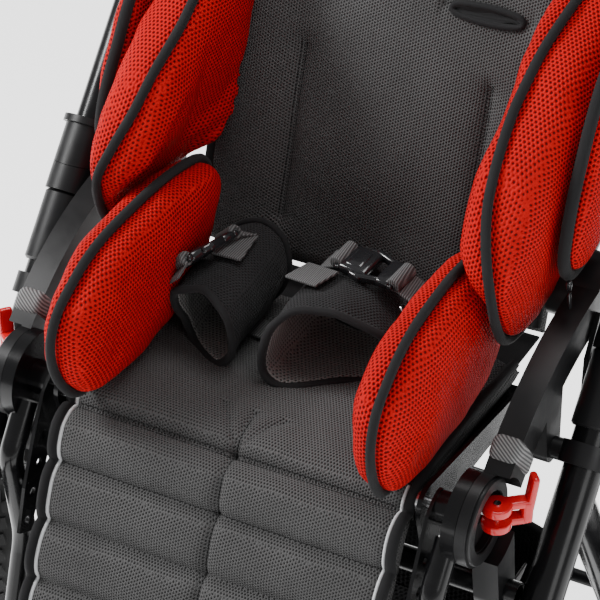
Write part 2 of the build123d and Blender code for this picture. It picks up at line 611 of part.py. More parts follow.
# ---- basket, webbing loops, fasteners ----------------------------------------------------
basket_half, basket_front, basket_rear = 196.0, 36.0, 226.0
basket_floor, basket_rim, basket_wall = -300.0, -178.0, 3.0
basket_middle = Pos(0, (basket_front + basket_rear) / 2, (basket_floor + basket_rim) / 2)
basket = basket_middle * Box(basket_half * 2, basket_rear - basket_front, basket_rim - basket_floor)
basket = fillet(basket.edges().filter_by(Axis.Z), 30)
hollow = basket_middle * Pos(0, 0, basket_wall) * Box(
    (basket_half - basket_wall) * 2, basket_rear - basket_front - 2 * basket_wall, basket_rim - basket_floor)
save("basket", basket - fillet(hollow.edges().filter_by(Axis.Z), 27))

strap_angle, strap_width = 129.0, 22.0   # place on the arm's arc, seen from its centre
strap_out_y, strap_out_z = turned(strap_angle)
strap_frame = Pos((arm_inner_x + arm_outer_x) / 2, arc_y + arc_r * strap_out_y, arc_z + arc_r * strap_out_z) \
    * Rot(strap_angle - 90, 0, 0)
strap_inner_x = arm_outer_x - arm_inner_x + 0.2
strap = strap_frame * Box(strap_inner_x + 4, strap_width, arm_width + 13)
strap -= strap_frame * Box(strap_inner_x, strap_width + 2, arm_width + 9)
strap -= arm
save("arm_straps", strap, flip(strap))

fasteners = [along_x(cheek_x - 2, pocket_x, 0, 0, bolt_radius)
             + along_x(cheek_x - 4, cheek_x - 0.1, 0, 0, 9) - barrel_space]
fasteners.append(along_x(inner_hub_x - 2, arm_outer_x + 4, recline_y, recline_z, bolt_radius)
                 + along_x(inner_hub_x - 8, inner_hub_x - 0.1, recline_y, recline_z, 9))
fasteners.append(lug(ear_half + 1, hinge_pin_radius))
save("frame_bolts", *fasteners, *[flip(piece) for piece in fasteners])
save("lever_pins", lever_pin, flip(lever_pin), barrel, flip(barrel))
save("hub_covers", hub_cover, flip(hub_cover))
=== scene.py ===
import bpy
import bmesh
import json
import math
from mathutils import Matrix, Vector, noise
from mathutils.kdtree import KDTree


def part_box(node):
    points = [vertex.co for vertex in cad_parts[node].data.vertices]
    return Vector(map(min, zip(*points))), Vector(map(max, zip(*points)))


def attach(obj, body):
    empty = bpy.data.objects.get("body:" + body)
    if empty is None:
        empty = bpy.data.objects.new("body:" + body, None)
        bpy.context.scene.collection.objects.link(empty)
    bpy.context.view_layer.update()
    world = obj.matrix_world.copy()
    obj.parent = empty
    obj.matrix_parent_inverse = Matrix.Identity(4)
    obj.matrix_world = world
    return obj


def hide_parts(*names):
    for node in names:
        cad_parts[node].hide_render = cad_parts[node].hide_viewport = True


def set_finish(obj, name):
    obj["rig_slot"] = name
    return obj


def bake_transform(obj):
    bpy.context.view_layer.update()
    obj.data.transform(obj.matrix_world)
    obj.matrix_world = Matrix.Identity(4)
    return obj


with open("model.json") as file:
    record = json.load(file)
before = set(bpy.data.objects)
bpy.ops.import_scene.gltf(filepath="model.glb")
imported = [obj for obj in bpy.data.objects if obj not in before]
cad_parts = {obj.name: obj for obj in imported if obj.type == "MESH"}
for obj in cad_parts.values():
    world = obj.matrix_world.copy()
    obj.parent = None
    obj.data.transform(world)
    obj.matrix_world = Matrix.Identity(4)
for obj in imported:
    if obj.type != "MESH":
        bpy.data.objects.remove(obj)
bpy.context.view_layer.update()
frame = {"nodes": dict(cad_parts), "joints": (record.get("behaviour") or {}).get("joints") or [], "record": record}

# Places are given in millimetres from the seat hub axis: x to the child's left, y to the rear
# and z up, and turned into the frame's metres by at().
MM = 0.001
joints = {joint["name"]: joint for joint in frame["joints"]}
hub = Vector(joints["leg_lift"]["pos_m"])
SIDES = (("left", 1), ("right", -1))


def at(x, y, z):
    return Vector((x * MM, hub.y + y * MM, hub.z + z * MM))


# ---- finishes ----------------------------------------------------------------------------


def put(tree, kind, **settings):
    """A node with its settings and the values of its inputs, which are given by number as in_0."""
    node = tree.nodes.new(kind)
    for key, value in settings.items():
        if key.startswith("in_"):
            node.inputs[int(key[3:])].default_value = value
        else:
            setattr(node, key, value)
    return node


def math_node(tree, operation, first, second=None):
    node = put(tree, "ShaderNodeMath", operation=operation)
    for socket, value in zip(node.inputs, (first, second)):
        if isinstance(value, (int, float)):
            socket.default_value = value
        elif value is not None:
            tree.links.new(value, socket)
    return node.outputs[0]


def net_group():
    """A hexagonal lattice of holes, laid on from the side that each face turns to."""
    group = bpy.data.node_groups.new("net_lattice", "ShaderNodeTree")
    group.interface.new_socket("Scale", in_out="INPUT", socket_type="NodeSocketFloat")
    group.interface.new_socket("Height", in_out="OUTPUT", socket_type="NodeSocketFloat")
    inside = group.nodes.new("NodeGroupInput")
    outside = group.nodes.new("NodeGroupOutput")
    place = group.nodes.new("ShaderNodeTexCoord")
    scaled = put(group, "ShaderNodeVectorMath", operation="SCALE")
    group.links.new(place.outputs["Object"], scaled.inputs[0])
    group.links.new(inside.outputs["Scale"], scaled.inputs["Scale"])
    facing = group.nodes.new("ShaderNodeSeparateXYZ")
    group.links.new(place.outputs["Normal"], facing.inputs[0])
    wave = 4 * math.pi / math.sqrt(3)
    total, weights = None, None
    for axis in range(3):
        first, second = (axis + 1) % 3, (axis + 2) % 3
        waves = None
        for turn in (30, 150, 270):
            direction = [0.0, 0.0, 0.0]
            direction[first] = wave * math.cos(math.radians(turn))
            direction[second] = wave * math.sin(math.radians(turn))
            dot = put(group, "ShaderNodeVectorMath", operation="DOT_PRODUCT")
            dot.inputs[1].default_value = direction
            group.links.new(scaled.outputs["Vector"], dot.inputs[0])
            one = math_node(group, "COSINE", dot.outputs["Value"])
            waves = one if waves is None else math_node(group, "ADD", waves, one)
        square = math_node(group, "MULTIPLY", facing.outputs[axis], facing.outputs[axis])
        weight = math_node(group, "POWER", square, 5.0)
        part = math_node(group, "MULTIPLY", waves, weight)
        total = part if total is None else math_node(group, "ADD", total, part)
        weights = weight if weights is None else math_node(group, "ADD", weights, weight)
    lattice = math_node(group, "DIVIDE", total, weights)
    group.links.new(lattice, outside.inputs["Height"])
    return group


NET = net_group()


def material(name, colour, roughness, **shader_values):
    made = bpy.data.materials.new(name)
    made.use_nodes = True
    shader = made.node_tree.nodes["Principled BSDF"]
    shader.inputs["Base Color"].default_value = (*colour, 1)
    shader.inputs["Roughness"].default_value = roughness
    for key, value in shader_values.items():
        shader.inputs[key.replace("_", " ")].default_value = value
    made.diffuse_color = (*colour, 1)
    return made, made.node_tree, shader


def grain(tree, scale, detail=4.0):
    place = tree.nodes.new("ShaderNodeTexCoord")
    texture = put(tree, "ShaderNodeTexNoise")
    texture.inputs["Scale"].default_value = scale
    texture.inputs["Detail"].default_value = detail
    tree.links.new(place.outputs["Object"], texture.inputs["Vector"])
    return texture.outputs["Fac"]


def vary(tree, shader, factor, dark, light, low=0.3, high=0.7, socket="Base Color"):
    """Colour or roughness running from dark to light as the factor goes from low to high."""
    ramp = put(tree, "ShaderNodeMapRange", in_1=low, in_2=high)
    tree.links.new(factor, ramp.inputs[0])
    if socket == "Base Color":
        mix = put(tree, "ShaderNodeMix", data_type="RGBA")
        mix.inputs[6].default_value = (*dark, 1)
        mix.inputs[7].default_value = (*light, 1)
        tree.links.new(ramp.outputs[0], mix.inputs[0])
        tree.links.new(mix.outputs[2], shader.inputs[socket])
        return mix
    ramp.inputs[3].default_value = dark
    ramp.inputs[4].default_value = light
    tree.links.new(ramp.outputs[0], shader.inputs[socket])
    return ramp


def bump(tree, shader, height, distance, strength=1.0, below=None):
    node = put(tree, "ShaderNodeBump")
    node.inputs["Distance"].default_value = distance
    node.inputs["Strength"].default_value = strength
    tree.links.new(height, node.inputs["Height"])
    if below is not None:
        tree.links.new(below, node.inputs["Normal"])
    tree.links.new(node.outputs[0], shader.inputs["Normal"])
    return node.outputs[0]


def net_cloth(name, thread, hole, pitch, depth, cut=(0.6, 1.9), sheen=0.05):
    """Spacer mesh: bright threads round dark holes, worn a little lighter in patches."""
    made, tree, shader = material(name, thread, 0.82, Sheen_Weight=sheen, Sheen_Roughness=0.4,
                                  Specular_IOR_Level=0.15)
    net = put(tree, "ShaderNodeGroup", node_tree=NET)
    net.inputs[0].default_value = 1 / (pitch * MM)
    mix = vary(tree, shader, net.outputs[0], thread, hole, *cut)
    patches = grain(tree, 22.0, 3.0)
    shade = put(tree, "ShaderNodeMix", data_type="RGBA")
    shade.inputs[6].default_value = (*[value * 0.82 for value in thread], 1)
    shade.inputs[7].default_value = (*[min(1.0, value * 1.22) for value in thread], 1)
    tree.links.new(patches, shade.inputs[0])
    tree.links.new(shade.outputs[2], mix.inputs[6])
    sunk = math_node(tree, "MULTIPLY", net.outputs[0], -1.0)
    under = bump(tree, shader, sunk, depth * MM)
    bump(tree, shader, grain(tree, 1400.0, 2.0), 0.00012, 0.6, under)
    return made


def ribbed(name, colour, light, pitch, axis="X"):
    made, tree, shader = material(name, colour, 0.7, Sheen_Weight=0.05)
    place = tree.nodes.new("ShaderNodeTexCoord")
    wave = put(tree, "ShaderNodeTexWave", bands_direction=axis)
    wave.inputs["Scale"].default_value = 2 * math.pi / 20 / (pitch * MM)
    tree.links.new(place.outputs["Object"], wave.inputs["Vector"])
    # The rib crests run from colour to light as the bump rises: a painted highlight on the ribs.
    vary(tree, shader, wave.outputs["Fac"], colour, light, 0.2, 0.9)
    bump(tree, shader, wave.outputs["Fac"], 0.0004)
    return made


def painted(name, colour, roughness=0.2):
    made, tree, shader = material(name, colour, roughness, Coat_Weight=0.12, Coat_Roughness=0.08,
                                  Specular_IOR_Level=0.28)
    vary(tree, shader, grain(tree, 35.0), roughness * 0.8, roughness * 1.5, socket="Roughness")
    bump(tree, shader, grain(tree, 420.0, 2.0), 0.00004, 0.5)
    return made


def moulded(name, colour, roughness=0.42, coat=0.0, depth=0.00005):
    made, tree, shader = material(name, colour, roughness, Coat_Weight=coat, Coat_Roughness=0.1,
                                  Specular_IOR_Level=0.3)
    vary(tree, shader, grain(tree, 60.0), roughness * 0.85, roughness * 1.2, socket="Roughness")
    vary(tree, shader, grain(tree, 14.0), colour, [value * 1.5 for value in colour])
    bump(tree, shader, grain(tree, 1900.0, 3.0), depth, 0.7)
    return made


def metal(name, colour, roughness):
    made, tree, shader = material(name, colour, roughness, Metallic=1.0)
    place = tree.nodes.new("ShaderNodeTexCoord")
    stretch = put(tree, "ShaderNodeMapping")
    stretch.inputs["Scale"].default_value = (60, 900, 900)
    lines = put(tree, "ShaderNodeTexNoise")
    lines.inputs["Scale"].default_value = 1.0
    tree.links.new(place.outputs["Object"], stretch.inputs[0])
    tree.links.new(stretch.outputs[0], lines.inputs["Vector"])
    vary(tree, shader, lines.outputs["Fac"], roughness * 0.7, roughness * 1.4, socket="Roughness")
    bump(tree, shader, lines.outputs["Fac"], 0.00002, 0.5)
    return made


RED_NET = net_cloth("red_net", (0.52, 0.002, 0.003), (0.07, 0.0, 0.0), 3.7, 0.42, sheen=0.0)
GREY_NET = net_cloth("grey_net", (0.085, 0.084, 0.084), (0.010, 0.010, 0.010), 2.7, 0.3)
BLACK_NET = net_cloth("black_net", (0.022, 0.022, 0.023), (0.003, 0.003, 0.003), 2.9, 0.25)
LINING_NET = net_cloth("lining_net", (0.17, 0.165, 0.16), (0.03, 0.03, 0.03), 3.4, 0.25)
BASKET_NET = net_cloth("basket_net", (0.022, 0.022, 0.023), (0.002, 0.002, 0.002), 5.0, 0.4)
BINDING = net_cloth("binding_tape", (0.018, 0.018, 0.019), (0.008, 0.008, 0.008), 0.9, 0.05)
BLACK_CLOTH = net_cloth("black_cloth", (0.022, 0.022, 0.023), (0.010, 0.010, 0.010), 1.1, 0.05)
THREAD = net_cloth("thread", (0.22, 0.215, 0.21), (0.08, 0.08, 0.08), 0.5, 0.02)
WEBBING = ribbed("webbing", (0.030, 0.030, 0.031), (0.12, 0.12, 0.12), 1.9, "X")
BAND = ribbed("band_webbing", (0.05, 0.05, 0.051), (0.22, 0.22, 0.22), 2.0, "DIAGONAL")
PAINT = painted("black_paint", (0.0035, 0.0035, 0.004))
PLASTIC = moulded("black_plastic", (0.006, 0.006, 0.0065), 0.36)
GLOSS = moulded("gloss_plastic", (0.008, 0.008, 0.009), 0.14, 0.5, 0.00001)
RED_PLASTIC = moulded("red_plastic", (0.50, 0.003, 0.006), 0.2, 0.5, 0.00001)
WHEEL_PLASTIC = moulded("wheel_plastic", (0.02, 0.02, 0.022), 0.35)
RUBBER = moulded("tyre_rubber", (0.014, 0.014, 0.014), 0.72, 0.0, 0.00015)
FOAM = moulded("grip_foam", (0.012, 0.012, 0.012), 0.9, 0.0, 0.0004)
STEEL = metal("zinc_steel", (0.62, 0.62, 0.63), 0.24)
CHROME = metal("bright_steel", (0.8, 0.8, 0.81), 0.1)
SILVER = net_cloth("reflective_piping", (0.72, 0.73, 0.74), (0.42, 0.43, 0.44), 1.0, 0.03)

# ---- making pieces -----------------------------------------------------------------------


def piece(name, bm, look, body, slot):
    """A finished mesh as an object that rides on a body; body None leaves it on no body."""
    mesh = bpy.data.meshes.new(name)
    bm.to_mesh(mesh)
    bm.free()
    return dress(name, mesh, look, body, slot)


def dress(name, mesh, look, body, slot):
    """Puts a mesh in the scene with its finish, its slot and the body it rides on."""
    made = bpy.data.objects.new(name, mesh)
    bpy.context.scene.collection.objects.link(made)
    for one in look if isinstance(look, (list, tuple)) else [look]:
        mesh.materials.append(one)
    for face in mesh.polygons:
        face.use_smooth = True
    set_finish(made, slot)
    if body:
        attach(made, body)
    return made


def smooth_line(points, per_span=8, closed=False):
    """A smooth curve through given points."""
    points = [Vector(point) for point in points]
    count = len(points)
    line = []
    for number in range(count if closed else count - 1):
        p1, p2 = points[number], points[(number + 1) % count]
        p0 = points[number - 1] if closed or number else p1 * 2 - p2
        p3 = points[(number + 2) % count] if closed or number < count - 2 else p2 * 2 - p1
        for step in range(per_span):
            t = step / per_span
            line.append(0.5 * (2 * p1 + (p2 - p0) * t + (2 * p0 - 5 * p1 + 4 * p2 - p3) * t * t
                               + (3 * p1 - p0 - 3 * p2 + p3) * t ** 3))
    return line if closed else line + [points[-1]]


def rope_mesh(name, lines, radius, closed=False):
    """Round beads along lines, as one mesh."""
    curve = bpy.data.curves.new(name, "CURVE")
    curve.dimensions = "3D"
    curve.bevel_depth = radius
    curve.bevel_resolution = 2
    curve.use_fill_caps = True
    for line in lines:
        spline = curve.splines.new("POLY")
        spline.points.add(len(line) - 1)
        for point, place in zip(spline.points, line):
            point.co = (*place, 1)
        spline.use_cyclic_u = closed
    holder = bpy.data.objects.new(name + "_line", curve)
    bpy.context.scene.collection.objects.link(holder)
    graph = bpy.context.evaluated_depsgraph_get()
    mesh = bpy.data.meshes.new_from_object(holder.evaluated_get(graph))
    bpy.data.objects.remove(holder)
    bpy.data.curves.remove(curve)
    return mesh


def rope(name, lines, radius, look, body, slot, closed=False):
    return dress(name, rope_mesh(name, lines, radius, closed), look, body, slot)


def stitches(name, lines, pitch, body, look=THREAD, radius=0.00045):
    """Rows of short thread stitches along lines."""
    rows = []
    for line in lines:
        lengths = [0.0]
        for first, second in zip(line, line[1:]):
            lengths.append(lengths[-1] + (second - first).length)
        for number in range(int(lengths[-1] / pitch)):
            ends = []
            for share in (0.12, 0.62):
                distance = (number + share) * pitch
                span = max(index for index, value in enumerate(lengths[:-1]) if value <= distance)
                step = (distance - lengths[span]) / max(1e-9, lengths[span + 1] - lengths[span])
                ends.append(line[span].lerp(line[span + 1], step))
            rows.append(ends)
    curve_mesh = rope_mesh(name, rows, radius)
    return dress(name, curve_mesh, look, body, "grey_mesh")


def add_box(bm, size, place=Matrix(), bevel=0.0, segments=3):
    """A box with eased edges, its size in millimetres."""
    made = bmesh.ops.create_cube(bm, size=1.0)
    verts = made["verts"]
    bmesh.ops.scale(bm, vec=Vector(size) * MM, verts=verts)
    if bevel:
        edges = list({edge for vert in verts for edge in vert.link_edges})
        result = bmesh.ops.bevel(bm, geom=edges, offset=bevel * MM, affect="EDGES",
                                 segments=segments, profile=0.5, material=-1)
        verts = list({vert for face in result["faces"] for vert in face.verts} |
                     {vert for vert in verts if vert.is_valid})
    bmesh.ops.transform(bm, matrix=place, verts=verts)
    return verts


def add_bar(bm, radius, length, place, bevel=0.0, sides=32):
    """A round bar along local Z with eased ends, in millimetres."""
    made = bmesh.ops.create_cone(bm, cap_ends=True, segments=sides, radius1=radius * MM,
                                 radius2=radius * MM, depth=length * MM)
    verts = made["verts"]
    if bevel:
        rims = [edge for edge in {e for v in verts for e in v.link_edges}
                if sum(len(face.verts) > 4 for face in edge.link_faces) == 1]
        result = bmesh.ops.bevel(bm, geom=rims, offset=bevel * MM, affect="EDGES",
                                 segments=3, profile=0.5, material=-1)
        verts = list({vert for face in result["faces"] for vert in face.verts} |
                     {vert for vert in verts if vert.is_valid})
    bmesh.ops.transform(bm, matrix=place, verts=verts)
    return verts


def turn(axis, degrees):
    return Matrix.Rotation(math.radians(degrees), 4, axis)


def shift(x, y, z):
    return Matrix.Translation(at(x, y, z))


def nudge(x, y, z):
    """A further move in a piece's own axes."""
    return Matrix.Translation(Vector((x, y, z)) * MM)


def skin(bm, loops):
    """An open skin through loops of equal count."""
    rows = [[bm.verts.new(point) for point in loop] for loop in loops]
    edges = [[bm.edges.new(two) for two in zip(row, row[1:] + row[:1])] for row in rows]
    for first, second in zip(edges, edges[1:]):
        bmesh.ops.bridge_loops(bm, edges=first + second)
    return rows


def closed_skin(bm, loops):
    """A skin through loops that is capped at both ends."""
    rows = skin(bm, loops)
    bm.faces.new(rows[0])
    bm.faces.new(rows[-1])
    bmesh.ops.recalc_face_normals(bm, faces=bm.faces[:])


def remeshed(name, bm, voxel):
    """The shape with an even skin, as a loose mesh object for simulation."""
    mesh = bpy.data.meshes.new(name)
    bm.to_mesh(mesh)
    bm.free()
    made = bpy.data.objects.new(name, mesh)
    bpy.context.scene.collection.objects.link(made)
    remesh = made.modifiers.new("Even", "REMESH")
    remesh.mode = "VOXEL"
    remesh.voxel_size = voxel * MM
    graph = bpy.context.evaluated_depsgraph_get()
    even = bpy.data.meshes.new_from_object(made.evaluated_get(graph))
    made.modifiers.clear()
    made.data = even
    return made


def inflate(made, held, pressure, cap, frames=20):
    """Lets the air pressure of a cloth simulation round the pad, up to cap millimetres."""
    group = made.vertex_groups.new(name="held")
    for vert in made.data.vertices:
        if held(vert.co):
            group.add([vert.index], 1.0, "REPLACE")
    cloth = made.modifiers.new("Cloth", "CLOTH")
    cloth.settings.quality = 4
    cloth.settings.mass = 0.25
    cloth.settings.use_pressure = True
    cloth.settings.uniform_pressure_force = pressure
    cloth.settings.vertex_group_mass = "held"
    cloth.settings.effector_weights.gravity = 0
    scene = bpy.context.scene
    for number in range(1, frames + 1):
        scene.frame_set(number)
    graph = bpy.context.evaluated_depsgraph_get()
    grown = made.evaluated_get(graph).to_mesh()
    places = [vert.co.copy() for vert in grown.vertices]
    made.evaluated_get(graph).to_mesh_clear()
    made.modifiers.remove(cloth)
    scene.frame_set(1)
    for vert, place in zip(made.data.vertices, places):
        move = place - vert.co
        if move.length > cap * MM:
            move *= cap * MM / move.length
        vert.co += move


def soften(mesh, rounds):
    """Evens out the small steps that the new skin has."""
    bm = bmesh.new()
    bm.from_mesh(mesh)
    for _ in range(rounds):
        bmesh.ops.smooth_vert(bm, verts=bm.verts[:], factor=0.5, use_axis_x=True,
                              use_axis_y=True, use_axis_z=True)
    bm.to_mesh(mesh)
    bm.free()


def line_tree(line):
    """Finds how far a place is from the points of a line."""
    tree = KDTree(len(line))
    for number, point in enumerate(line):
        tree.insert(point, number)
    tree.balance()
    return tree


def pinch(mesh, tree, depth, reach):
    """Draws the skin in along a sewn line, which leaves a groove."""
    for vert in mesh.vertices:
        _, _, distance = tree.find(vert.co)
        vert.co -= vert.normal * depth * MM * math.exp(-((distance / (reach * MM)) ** 2))


def pair(made, name, body):
    """A left piece together with its mirror image on the right."""
    bm = bmesh.new()
    bm.from_mesh(made.data)
    bmesh.ops.scale(bm, vec=(-1, 1, 1), verts=bm.verts[:])
    bmesh.ops.reverse_faces(bm, faces=bm.faces[:])
    return made, piece(name + "_right", bm, list(made.data.materials), body, made["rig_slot"])


# ---- red pads ----------------------------------------------------------------------------
PAD_VOXEL = 4.5             # size of the even skin's cells
SEWN_REACH = 6.0            # how far from its seam a pad is held flat
AIR_PRESSURE = 4.0
NOISE_PLACE = 3.1           # where the creases are taken from the noise
FACE_LOOPS = ((-1, 1.0, 0.55), (-1, 0.90, 0.78), (-1, 0.55, 0.94), (0, 0.0, 1.0),
              (1, 0.55, 0.95), (1, 0.90, 0.82), (1, 1.0, 0.60))


def pad_loops(outline, inner_x, outer_x, full_rear):
    """Loops of a pillow from its seam, drawn in towards both faces.

    Each loop has its side, its share of the way to that side's face, and its size. With a full
    rear, the pillow keeps its size behind its middle and so fills to the back cushion.
    """
    seam = smooth_line(outline, 5, closed=True)
    middle = sum(seam, Vector()) / len(seam)
    loops = []
    for side, share, size in FACE_LOOPS:
        loop = []
        for point in seam:
            rear = min(1.0, max(0.0, (point.y - middle.y) / 50)) * full_rear
            drawn = middle + (point - middle) * (size + (0.99 - size) * rear * (side < 0))
            face_x = outer_x if side > 0 else inner_x(point.y, point.z)
            loop.append(at(point.x + (face_x - point.x) * share, drawn.y, drawn.z))
        loops.append(loop)
    return loops, [at(*point) for point in seam]


def red_pad(name, outline, inner_x, outer_x, full_rear, body, cap):
    """A mesh-covered pillow with a piped seam round its widest line."""
    bm = bmesh.new()
    loops, seam = pad_loops(outline, inner_x, outer_x, full_rear)
    closed_skin(bm, loops)
    pad = remeshed(name, bm, PAD_VOXEL)
    seam_tree = line_tree(seam)
    inflate(pad, lambda place: seam_tree.find(place)[2] < SEWN_REACH * MM, AIR_PRESSURE, cap)
    soften(pad.data, 3)
    for vert in pad.data.vertices:
        drift = noise.noise(vert.co * 24 + Vector((NOISE_PLACE, 0, 0)))
        ripple = noise.noise(vert.co * 62 + Vector((0, NOISE_PLACE, 0)))
        vert.co += vert.normal * (drift * 2.2 + ripple * 0.9) * MM
    pinch(pad.data, seam_tree, 3.5, SEWN_REACH)
    skin = pad.data
    bpy.data.objects.remove(pad)
    return dress(name, skin, RED_NET, body, "red_mesh"), seam


def fine(made):
    level = made.modifiers.new("Fine", "SUBSURF")
    level.levels = level.render_levels = 1


hip_seam = [(135, -18, 15), (137, -38, 30), (138, -50, 55), (138, -52, 80), (137, -42, 102),
            (136, -24, 116), (135, 0, 129), (134, 30, 137), (133, 76, 141), (133, 107, 141),
            (134, 140, 137), (136, 172, 129), (138, 190, 116), (139, 194, 102), (138, 176, 72),
            (137, 148, 38), (136, 104, 18), (135, 40, 13)]
side_seam = [(172, 112, 84), (174, 88, 110), (172, 76, 148), (163, 86, 175), (154, 105, 200),
             (149, 130, 225), (145, 165, 249), (145, 187, 263), (146, 215, 279), (149, 245, 293),
             (152, 276, 303), (156, 294, 306), (164, 284, 280), (174, 262, 222), (178, 235, 162),
             (176, 200, 100), (174, 146, 82)]
outer_seam = [(205, 153, 132), (205, 138, 150), (205, 139, 170), (204, 149, 195), (203, 163, 219),
              (202, 186, 255), (201, 214, 282), (201, 252, 296), (202, 280, 292), (204, 268, 240),
              (205, 240, 180), (205, 196, 139)]


def side_inner_x(y, z):
    """The side cushion swells inwards only above and behind the hip cushion."""
    raised = min(1.0, max(0.0, (z - 112) / 40, (y - 196) / 18))
    return 162 - 32 * raised * raised * (3 - 2 * raised)


for pad_name, outline, inner_x, outer_x, full_rear, node, body, cap in (
        ("hip_cushion", hip_seam, lambda y, z: 106, 159, 0.0, "hip_pad", "frame", 8),
        ("side_cushion", side_seam, side_inner_x, 190, 1.0, "side_pad", "backrest", 7),
        ("outer_cushion", outer_seam, lambda y, z: 195, 217, 0.0, "side_pad", "backrest", 5)):
    cushion, seam = red_pad(pad_name + "_left", outline, inner_x, outer_x, full_rear, body, cap)
    for made, side in zip(pair(cushion, pad_name, body), ("left", "right")):
        fine(made)
        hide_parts(f"{node}_{side}")
    bead = 0.0052 if pad_name == "outer_cushion" else 0.0040
    piping = rope(pad_name + "_piping_left", [seam], bead, BINDING, body, "webbing", closed=True)
    pair(piping, pad_name + "_piping", body)
bm = bmesh.new()
add_box(bm, (4, 5, 9), shift(211, 137, 132) @ turn("X", 20), 1.2)
add_box(bm, (2, 4, 16), shift(213, 135, 120) @ turn("X", 12), 0.8)
piece("zip_pull", bm, GLOSS, "backrest", "gloss_black")

# ---- seat, leg and back cushions ---------------------------------------------------------


class Profile:
    """A (y, z) line in millimetres that is walked by its length."""

    def __init__(self, points, outward):
        self.outward = outward
        self.line = smooth_line([Vector((0, y, z)) for y, z in points], 10)
        self.marks = [0.0]
        for first, second in zip(self.line, self.line[1:]):
            self.marks.append(self.marks[-1] + (second - first).length)
        self.length = self.marks[-1]

    def walk(self, distance):
        """Place and outward normal at a distance along the line."""
        distance = min(max(distance, 0.0), self.length - 1e-6)
        span = max(number for number, mark in enumerate(self.marks[:-1]) if mark <= distance)
        step = (distance - self.marks[span]) / (self.marks[span + 1] - self.marks[span])
        place = self.line[span].lerp(self.line[span + 1], step)
        before = self.line[max(span - 2, 0)]
        after = self.line[min(span + 3, len(self.line) - 1)]
        along = (after - before).normalized()
        return place, Vector((0, -along.z, along.y)) * self.outward


def quilted(name, profile, half_width, thickness, puff, look, across, steps, body, slot="grey_mesh"):
    """A closed padded panel along a profile, puffed between its seams."""
    bm = bmesh.new()
    bmesh.ops.create_grid(bm, x_segments=across, y_segments=steps, size=1.0)
    raised = bmesh.ops.extrude_face_region(bm, geom=bm.faces[:])["geom"]
    back = {vert for vert in raised if isinstance(vert, bmesh.types.BMVert)}
    edge_round = thickness * 0.5
    for vert in bm.verts:
        x = vert.co.x * half_width
        distance = (vert.co.y + 1) / 2 * profile.length
        place, normal = profile.walk(distance)
        rim = min(half_width - abs(x), distance, profile.length - distance)
        inset = max(0.0, 1 - rim / edge_round)
        drop = edge_round * (1 - math.sqrt(max(0.0, 1 - inset * inset)))
        if vert in back:
            height = -thickness + drop
        else:
            height = puff(x, distance) - drop
        vert.co = at(x, *(place + normal * height).yz)
    bmesh.ops.recalc_face_normals(bm, faces=bm.faces[:])
    return piece(name, bm, look, body, slot)


def line_on(profile, x0, s0, x1, s1, puff, lift=0.6, count=40):
    """A line over a quilted panel's face, from (x0, s0) to (x1, s1)."""
    line = []
    for number in range(count + 1):
        share = number / count
        x, distance = x0 + (x1 - x0) * share, s0 + (s1 - s0) * share
        place, normal = profile.walk(distance)
        line.append(at(x, *(place + normal * (puff(x, distance) + lift)).yz))
    return line


def groove(distance, depth, width):
    """How far the face sinks at a distance from a seam."""
    return depth * math.exp(-abs(distance) / width)


seat_profile = Profile([(188, 9), (140, 10), (90, 11), (40, 11), (6, 9), (-14, 1), (-28, -14),
                        (-42, -42), (-55, -70), (-69, -98), (-83, -128), (-94, -158),
                        (-102, -188)], outward=-1)
knee = seat_profile.length - 208
cross_seams = [knee + 50 * number for number in range(5)]
seat_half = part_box("seat_pad")[1].x / MM
border = 9.0
fork_reach = 44.0           # how far the middle seam and its fork run back from the knee


def seat_puff(x, distance):
    sink = sum(groove(distance - seam, 10.0, 8.0) for seam in cross_seams)
    calf = min(1.0, max(0.0, (distance - knee) / 20))
    middle_seam = max(calf * (distance < cross_seams[3]), 0.8 * (knee - fork_reach < distance))
    sink += groove(x, 6.0, 4.0) * middle_seam
    if knee - fork_reach < distance <= knee + 2:
        split = (knee - distance) * 0.85
        sink += groove(abs(x) - max(0.0, split - 6) * 0.9, 4.0, 3.4)
    sink += groove(abs(x) - (seat_half - border), 4.0, 3.0)
    crown = 3.5 * math.sin(math.pi * min(1.0, distance / knee)) if distance < knee else 0.0
    ripple = noise.noise(Vector((x * 0.03, distance * 0.05, 7.0))) * 1.3
    return 5.0 * calf + 2.0 + crown - sink + ripple


seat_cover = quilted("seat_cushion", seat_profile, seat_half, 20.0, seat_puff, GREY_NET, 120, 160, None)
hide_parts("seat_pad", "calf_pad")
edge_x = seat_half - border
seat_lines = [line_on(seat_profile, side * edge_x, knee - 20, side * edge_x, seat_profile.length - 6,
                      seat_puff, 1.6, 80) for _, side in SIDES]
seat_piping = rope("seat_reflective_piping", seat_lines, 0.0017, SILVER, None, "webbing")
row_half = edge_x - 4
row_places = [knee - 2.2, knee + 2.2] + cross_seams[1:]
seat_rows = [line_on(seat_profile, -row_half, row, row_half, row, seat_puff, 0.4, 100)
             for row in row_places]
seat_rows.append(line_on(seat_profile, 0, knee - 36, 0, cross_seams[3], seat_puff, 0.4, 80))
# The seat's stitch rows are real stitches drawn in black cloth, so that they also darken the seam grooves as
# painted shade.
seat_stitches_and_shade = stitches("seat_stitches_and_shade", seat_rows, 0.0036, None, BLACK_CLOTH)
hem_x, hem_end = seat_half - 3.5, seat_profile.length - 5
hems = [line_on(seat_profile, side * hem_x, 4, side * hem_x, hem_end - 1, seat_puff, -1.0, 80)
        for _, side in SIDES]
hems.append(line_on(seat_profile, -seat_half + 6, hem_end, seat_half - 6, hem_end, seat_puff, -1.0, 40))
seat_binding = rope("seat_binding", hems, 0.0046, BINDING, None, "webbing")
for made in (seat_cover, seat_piping, seat_stitches_and_shade, seat_binding):
    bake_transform(made)

